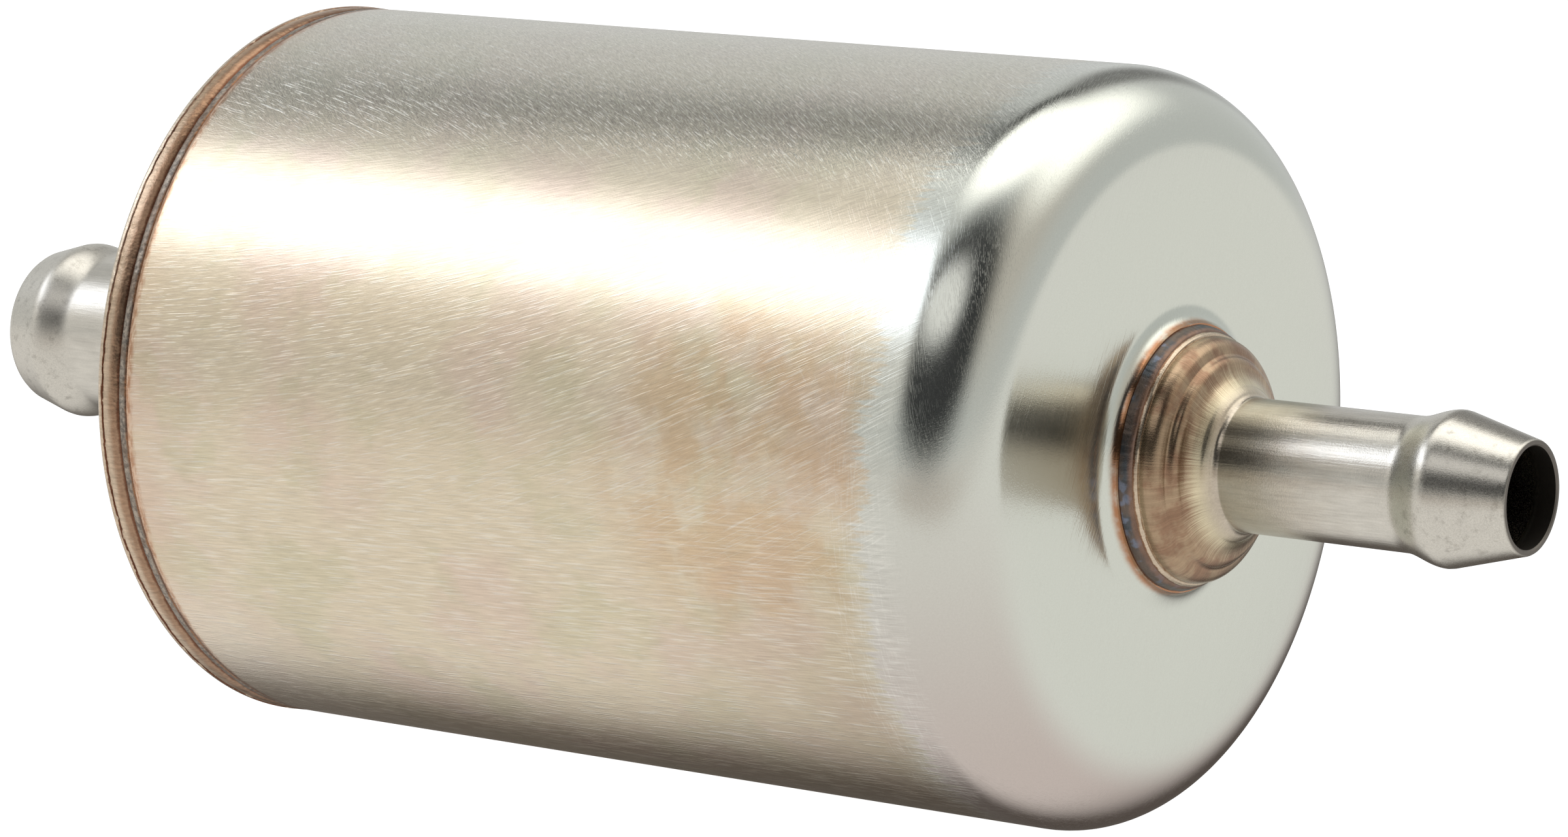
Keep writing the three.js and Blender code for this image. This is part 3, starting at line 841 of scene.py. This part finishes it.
# Foot edge, dome in two bands, neck, tube, bead and cone, then back down the bore and under the foot.
def nippleOutline(n, face, side):
    top, tube = foot["domeTop"], n["tube"]
    neck = tube + foot["fillet"]
    wide = n["foot"] - neck
    bead, tip = tube + n["beadHeight"], tube - n["tipInset"]
    crest = n["reach"] - n["beadToTip"]
    edgeEnd = foot["low"] + foot["edge"]
    line = Outline()
    for along, out, ripple, fray in foot["flange"]:
        line.add(foot["low"] + along, n["foot"] + out, ripple, fray)
    line.through([(along, neck + wide * share) for along, share in foot["dome"]]
                 + [(along, tube + high) for along, high in foot["neck"]])
    rise = crest - n["beadRise"]
    for i in range(17):
        share = i / 16
        smooth = share * share * (3 - 2 * share)
        line.add(rise + share * n["beadRise"], tube + smooth * n["beadHeight"])
    slope = (bead - tip) / n["beadToTip"]
    line.add(crest + 0.35, bead - slope * 0.2)
    line.add(n["reach"] - n["tipRound"] * 1.2, tip + slope * n["tipRound"])
    line.arc(n["reach"] - n["tipRound"], tip - n["tipRound"], n["tipRound"], n["tipRound"], 70, 0, 5)
    tipBore = tip - n["tipWall"]
    inside = min(0.1, n["tipWall"] / 4)
    line.add(n["reach"], tipBore + inside).add(n["reach"] - inside, tipBore)
    line.add(crest + n["beadToTip"] / 4, bead - n["wall"] - 0.1)
    line.add(crest - n["wall"] / 2, bead - n["wall"])
    line.add(rise, n["bore"])
    wall = foot["wall"]
    line.arc(top + wall, n["bore"] + wall, wall, wall, 270, 190, 5)
    line.arc(edgeEnd, n["bore"] + wall, top - edgeEnd - wall / 2,
             n["foot"] - 2 * wall - n["bore"], 12, 88, 8)
    line.add(foot["low"], n["foot"] - wall)
    return line.place(face, side)


weld = {
    "low": 0.8,
    "high": 1.8,
    "bulge": 0.12,
    "depth": 0.6,
    "collarInset": 0.08,  # its edge inside the collar's wall
    "footOutset": 0.04,  # and outside the nipple's foot
}


def weldOutline(n, collarRadius, face, side):
    low, high = weld["low"], weld["high"]
    middle, half = (low + high) / 2, (high - low) / 2
    inner = n["foot"] - weld["depth"]
    lowRadius, highRadius = collarRadius - weld["collarInset"], n["foot"] + weld["footOutset"]
    line = Outline()
    line.add(low, inner)
    for i in range(9):
        share = i / 8
        angle = math.pi * (1 - share)
        radius = lowRadius + (highRadius - lowRadius) * share
        line.add(middle + half * math.cos(angle), radius + weld["bulge"] * math.sin(angle),
                 math.sin(math.pi * share), 0.5 if 0 < i < 8 else 0)
    line.add(high, inner)
    return line.place(face, side)


shellPieces = []


def addShell(name, node, slot, outline, finish, steps, **sizes):
    piece = turn(name, outline, finish, steps, **sizes)
    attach(piece, "housing")
    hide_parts(node)
    shellPieces.append(name)


front, rear = shell["frontFace"], shell["rearFace"]
addShell("canBody", "can_body", "can_steel", canOutline(), canMaterial(), 288)
addShell("rearCover", "rear_cover", "cover_steel", coverOutline(), coverMaterial(), 720,
         **{"Fray Length": 0.12 * mm, "Fray Size": 900.0, "Seed": 0.3})
addShell("rearSeamBead", "rear_seam_weld", "weld_metal", seamOutline(), seamMaterial(), 2400,
         **{"Ripple Height": 0.05 * mm, "Ripples Round": seam["ripples"], "Bead Unevenness": 0.05 * mm,
            "Fray Length": 0.12 * mm, "Fray Size": 1100.0, "Seed": 0.7})
addShell("outletNipple", "outlet_nipple", "nipple_steel", nippleOutline(outlet, front, 1),
         nippleMaterial("outletNippleSteel", front, 1, outlet), 192,
         **{"Bead Unevenness": 0.04 * mm, "Fray Size": 900.0, "Seed": 1.1})
addShell("outletWeldBead", "outlet_weld", "weld_metal",
         weldOutline(outlet, can["collarRadius"], front, 1),
         nippleWeldMaterial("outletWeldSteel", front, 1), 900,
         **{"Ripple Height": 0.025 * mm, "Ripples Round": 110.0, "Bead Unevenness": 0.06 * mm,
            "Fray Length": 0.05 * mm, "Fray Size": 900.0, "Seed": 1.9})
addShell("inletNipple", "inlet_nipple", "nipple_steel", nippleOutline(inlet, rear, -1),
         nippleMaterial("inletNippleSteel", rear, -1, inlet), 192,
         **{"Bead Unevenness": 0.04 * mm, "Fray Size": 900.0, "Seed": 2.3})
addShell("inletWeldBead", "inlet_weld", "weld_metal",
         weldOutline(inlet, cover["collarRadius"], rear, -1),
         nippleWeldMaterial("inletWeldSteel", rear, -1), 1000,
         **{"Ripple Height": 0.025 * mm, "Ripples Round": 130.0, "Bead Unevenness": 0.06 * mm,
            "Fray Length": 0.05 * mm, "Fray Size": 900.0, "Seed": 2.9})
print("shell pieces:", ", ".join(shellPieces))


# ---- Inner pieces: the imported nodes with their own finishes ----

def plainMaterial(name, colour, other, roughness, metallic, size, depth):
    f = Finish(name, metallic=metallic, roughness=roughness)
    cloud = f.noise(f.here(), size * 6, 3, 0.6, 61.0)
    grain = f.noise(f.here(), size, 2, 0.6, 62.0)
    mixed = f.shade(f.mix(cloud.step(0.35, 0.65), colour, other), 0.9 + grain * 0.2)
    return f.done(mixed, roughness + (grain - 0.5) * 0.1, f.bump(grain, depth, 0.5))


innerFinishes = {
    "pleated_media": ("filterPaper", rgb(219, 170, 82), rgb(201, 148, 66), 0.9, 0.0, 0.25, 0.02),
    "media_seam_clip": ("clipSteel", rgb(188, 186, 178), rgb(170, 168, 160), 0.4, 1.0, 0.2, 0.01),
    "center_tube": ("tubeSteel", rgb(190, 190, 184), rgb(172, 170, 162), 0.38, 1.0, 0.2, 0.01),
    "liner_screen": ("wireCloth", rgb(160, 160, 158), rgb(138, 138, 136), 0.5, 1.0, 0.2, 0.02),
    "outlet_end_cap": ("outletCapSteel", rgb(190, 189, 180), rgb(172, 170, 160), 0.4, 1.0, 0.25, 0.01),
    "inlet_end_cap": ("inletCapSteel", rgb(190, 189, 180), rgb(172, 170, 160), 0.4, 1.0, 0.25, 0.01),
    "outlet_potting": ("outletCompound", rgb(126, 76, 46), rgb(104, 60, 36), 0.6, 0.0, 0.4, 0.03),
    "inlet_potting": ("inletCompound", rgb(126, 76, 46), rgb(104, 60, 36), 0.6, 0.0, 0.4, 0.03),
    "pleat_band_front": ("frontBandStrip", rgb(238, 232, 216), rgb(222, 214, 194), 0.8, 0.0, 0.2, 0.01),
    "pleat_band_rear": ("rearBandStrip", rgb(238, 232, 216), rgb(222, 214, 194), 0.8, 0.0, 0.2, 0.01),
    "outlet_gasket": ("gasketRubber", rgb(34, 34, 35), rgb(46, 45, 44), 0.7, 0.0, 0.2, 0.02),
    "element_spring": ("springSteel", rgb(150, 152, 156), rgb(126, 124, 122), 0.3, 1.0, 0.2, 0.01),
    "spring_seat": ("seatSteel", rgb(188, 186, 176), rgb(168, 165, 154), 0.4, 1.0, 0.25, 0.01),
}
for node, values in innerFinishes.items():
    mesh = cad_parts[node].data
    mesh.materials.clear()
    mesh.materials.append(plainMaterial(*values))
print("inner finishes:", len(innerFinishes))


# ---- Element spring ----

spring = {
    "wire": 1.2,
    "turns": 3.5,
    "stepsPerTurn": 48,
    "wireSides": 16,
    "travel": 1.5,
    "spare": 0.05,  # what it shortens beyond the travel
}


def coilTree():
    tree = Tree("coiledWire", {
        "Coil Radius": ("Float", 0.01),
        "Wire Radius": ("Float", 0.001),
        "Coil Length": ("Float", 0.01),
        "Turns": ("Float", 4.0),
        "Steps Per Turn": ("Int", 32),
        "Wire Sides": ("Int", 12),
    })
    coil = tree.out("GeometryNodeCurveSpiral", None, {
        "Resolution": tree.given("Steps Per Turn"), "Rotations": tree.given("Turns"),
        "Start Radius": tree.given("Coil Radius"), "End Radius": tree.given("Coil Radius"),
        "Height": tree.given("Coil Length")})
    wire = tree.out("GeometryNodeCurvePrimitiveCircle", None, {
        "Resolution": tree.given("Wire Sides"), "Radius": tree.given("Wire Radius")})
    swept = tree.out("GeometryNodeCurveToMesh", None,
                     {"Curve": coil, "Profile Curve": wire, "Fill Caps": True})
    along = tree.out("GeometryNodeTransform", None,
                     {"Geometry": swept, "Rotation": (0, math.pi / 2, 0)})
    return tree.finished(along)


# The coil stands on its seat.
def addSpring():
    low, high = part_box("element_spring")
    length = high.x - low.x
    wireRadius = spring["wire"] / 2 * mm
    piece = coilTree().piece("elementSpring", bpy.data.meshes.new("springPath"), {
        "Coil Radius": high.z - wireRadius,
        "Wire Radius": wireRadius,
        "Coil Length": length - 2 * wireRadius,
        "Turns": spring["turns"],
        "Steps Per Turn": spring["stepsPerTurn"],
        "Wire Sides": spring["wireSides"],
        "Finish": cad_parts["element_spring"].data.materials[0],
    })
    piece.data.transform(Matrix.Translation((low.x + wireRadius, 0, 0)))
    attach(piece, "housing")
    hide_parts("element_spring")
    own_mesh(piece)


addSpring()
print("element spring")


# ---- Studio ----

floorLook = {"half": 3.0, "gap": 0.00002, "grey": 0.25, "glow": 0.97}


def addFloor():
    low = -shell["rimRadius"] * mm - floorLook["gap"]
    half, grey = floorLook["half"], floorLook["grey"]
    corners = [(-half, -half, low), (half, -half, low), (half, half, low), (-half, half, low)]
    mesh = bpy.data.meshes.new("floor")
    mesh.from_pydata(corners, [], [(0, 1, 2, 3)])
    floor = bpy.data.objects.new("floor", mesh)
    bpy.context.scene.collection.objects.link(floor)
    material = bpy.data.materials.new("paleFloor")
    material.use_nodes = True
    shader = material.node_tree.nodes["Principled BSDF"]
    shader.inputs["Base Color"].default_value = (grey, grey, grey, 1)
    shader.inputs["Roughness"].default_value = 1.0
    shader.inputs["Specular IOR Level"].default_value = 0.0
    shader.inputs["Emission Color"].default_value = (1, 1, 1, 1)
    shader.inputs["Emission Strength"].default_value = floorLook["glow"]
    mesh.materials.append(material)
    floor.visible_glossy = False


# Direction from azimuth (0 towards -Y, 90 towards +X) and elevation, in degrees.
def direction(azimuth, elevation):
    a, e = math.radians(azimuth), math.radians(elevation)
    return Vector((math.sin(a) * math.cos(e), -math.cos(a) * math.cos(e), math.sin(e)))


# The studio as the metal sees it. Each panel is an ellipse of (azimuth, elevation, half width,
# half height, softness, strength, colour), painted over the ones before it.
studio = {
    "sky": (0.72, (0.97, 1.0, 1.0)),
    "table": (1.0, (1.0, 0.995, 0.98)),
    "horizon": 0.06,  # half of the soft height between them
    "panels": {
        "tableEdge": (20, -8, 55, 6, 0.5, 0.72, (1.0, 0.93, 0.87)),
        "rightWall": (90, 38, 32, 24, 0.5, 0.68, (1.0, 0.95, 0.88)),
        "backWall": (-140, 28, 42, 34, 0.5, 0.75, (0.98, 1.0, 1.0)),
        "backPost": (-160, 36, 9, 26, 0.5, 0.25, (1.0, 1.0, 1.0)),
        "overheadBox": (-160, 79, 28, 20, 0.35, 2.2, (1.0, 1.0, 0.98)),
        "rightBox": (142, 52, 24, 20, 0.5, 2.0, (1.0, 1.0, 0.97)),
        "darkRoom": (19, 38, 46, 37, 0.2, 0.05, (0.95, 1.0, 1.05)),
        "keyGlow": (-46, 26, 17, 16, 0.9, 1.0, (1.0, 0.98, 0.94)),
        "frontLight": (8, 46, 22, 12, 0.4, 1.1, (1.0, 1.0, 1.0)),
        "keyBox": (-58, 40, 20, 10, 0.45, 2.9, (0.95, 1.0, 1.1)),
        "darkArc": (-124, 53, 22, 6, 0.3, 0.0, (1.0, 1.0, 1.0)),
        "backShade": (-150, -32, 38, 28, 0.45, 0.12, (1.0, 0.88, 0.78)),
    },
}


def addWorld():
    world = bpy.data.worlds.new("studio")
    bpy.context.scene.world = world
    world.use_nodes = True
    tree = world.node_tree
    tree.nodes.clear()

    s = Nodes(tree)
    coordinate = s.out("ShaderNodeTexCoord", None, None, "Generated")

    def along(axis):
        return s.out("ShaderNodeVectorMath", {"operation": "DOT_PRODUCT"},
                     {0: coordinate, 1: tuple(axis)}, "Value")

    def colourOf(strength, tint):
        return tuple(strength * t for t in tint) + (1,)

    soft = studio["horizon"]
    above = along((0, 0, 1)).step(-soft, soft)
    colour = s.mix(above, colourOf(*studio["table"]), colourOf(*studio["sky"]))
    for azimuth, elevation, wide, tall, soft, strength, tint in studio["panels"].values():
        centre = direction(azimuth, elevation)
        right = direction(azimuth + 90, 0)
        up = right.cross(centre) * -1
        u = along(right) / math.sin(math.radians(wide))
        v = along(up) / math.sin(math.radians(tall))
        distance = (u * u + v * v).maths("SQRT")
        mask = (1 - distance.step(1 - soft, 1 + soft)) * along(centre).step(0, 0.05)
        colour = s.mix(mask, colour, colourOf(strength, tint))
    background = s.node("ShaderNodeBackground", None, {"Color": colour, "Strength": 1.0})
    output = s.node("ShaderNodeOutputWorld")
    feed(tree, output.inputs["Surface"], background.outputs[0])


addFloor()
addWorld()

view = bpy.context.scene.view_settings
view.view_transform = "Standard"

lens = {
    "place": (0.2320, -0.3119, 0.0629),
    "forward": (-0.5794, 0.7987, -0.1626),
    "length": 120.0,
    "sensor": 36.0,
    "near": 0.01,
    "far": 20.0,
}
cameraData = bpy.data.cameras.new("camera")
cameraData.lens = lens["length"]
cameraData.sensor_width = lens["sensor"]
cameraData.clip_start = lens["near"]
cameraData.clip_end = lens["far"]
camera = bpy.data.objects.new("camera", cameraData)
camera.location = lens["place"]
camera.rotation_mode = "QUATERNION"
camera.rotation_quaternion = Vector(lens["forward"]).to_track_quat("-Z", "Y")
bpy.context.scene.collection.objects.link(camera)
bpy.context.scene.camera = camera
print("studio and camera ready")
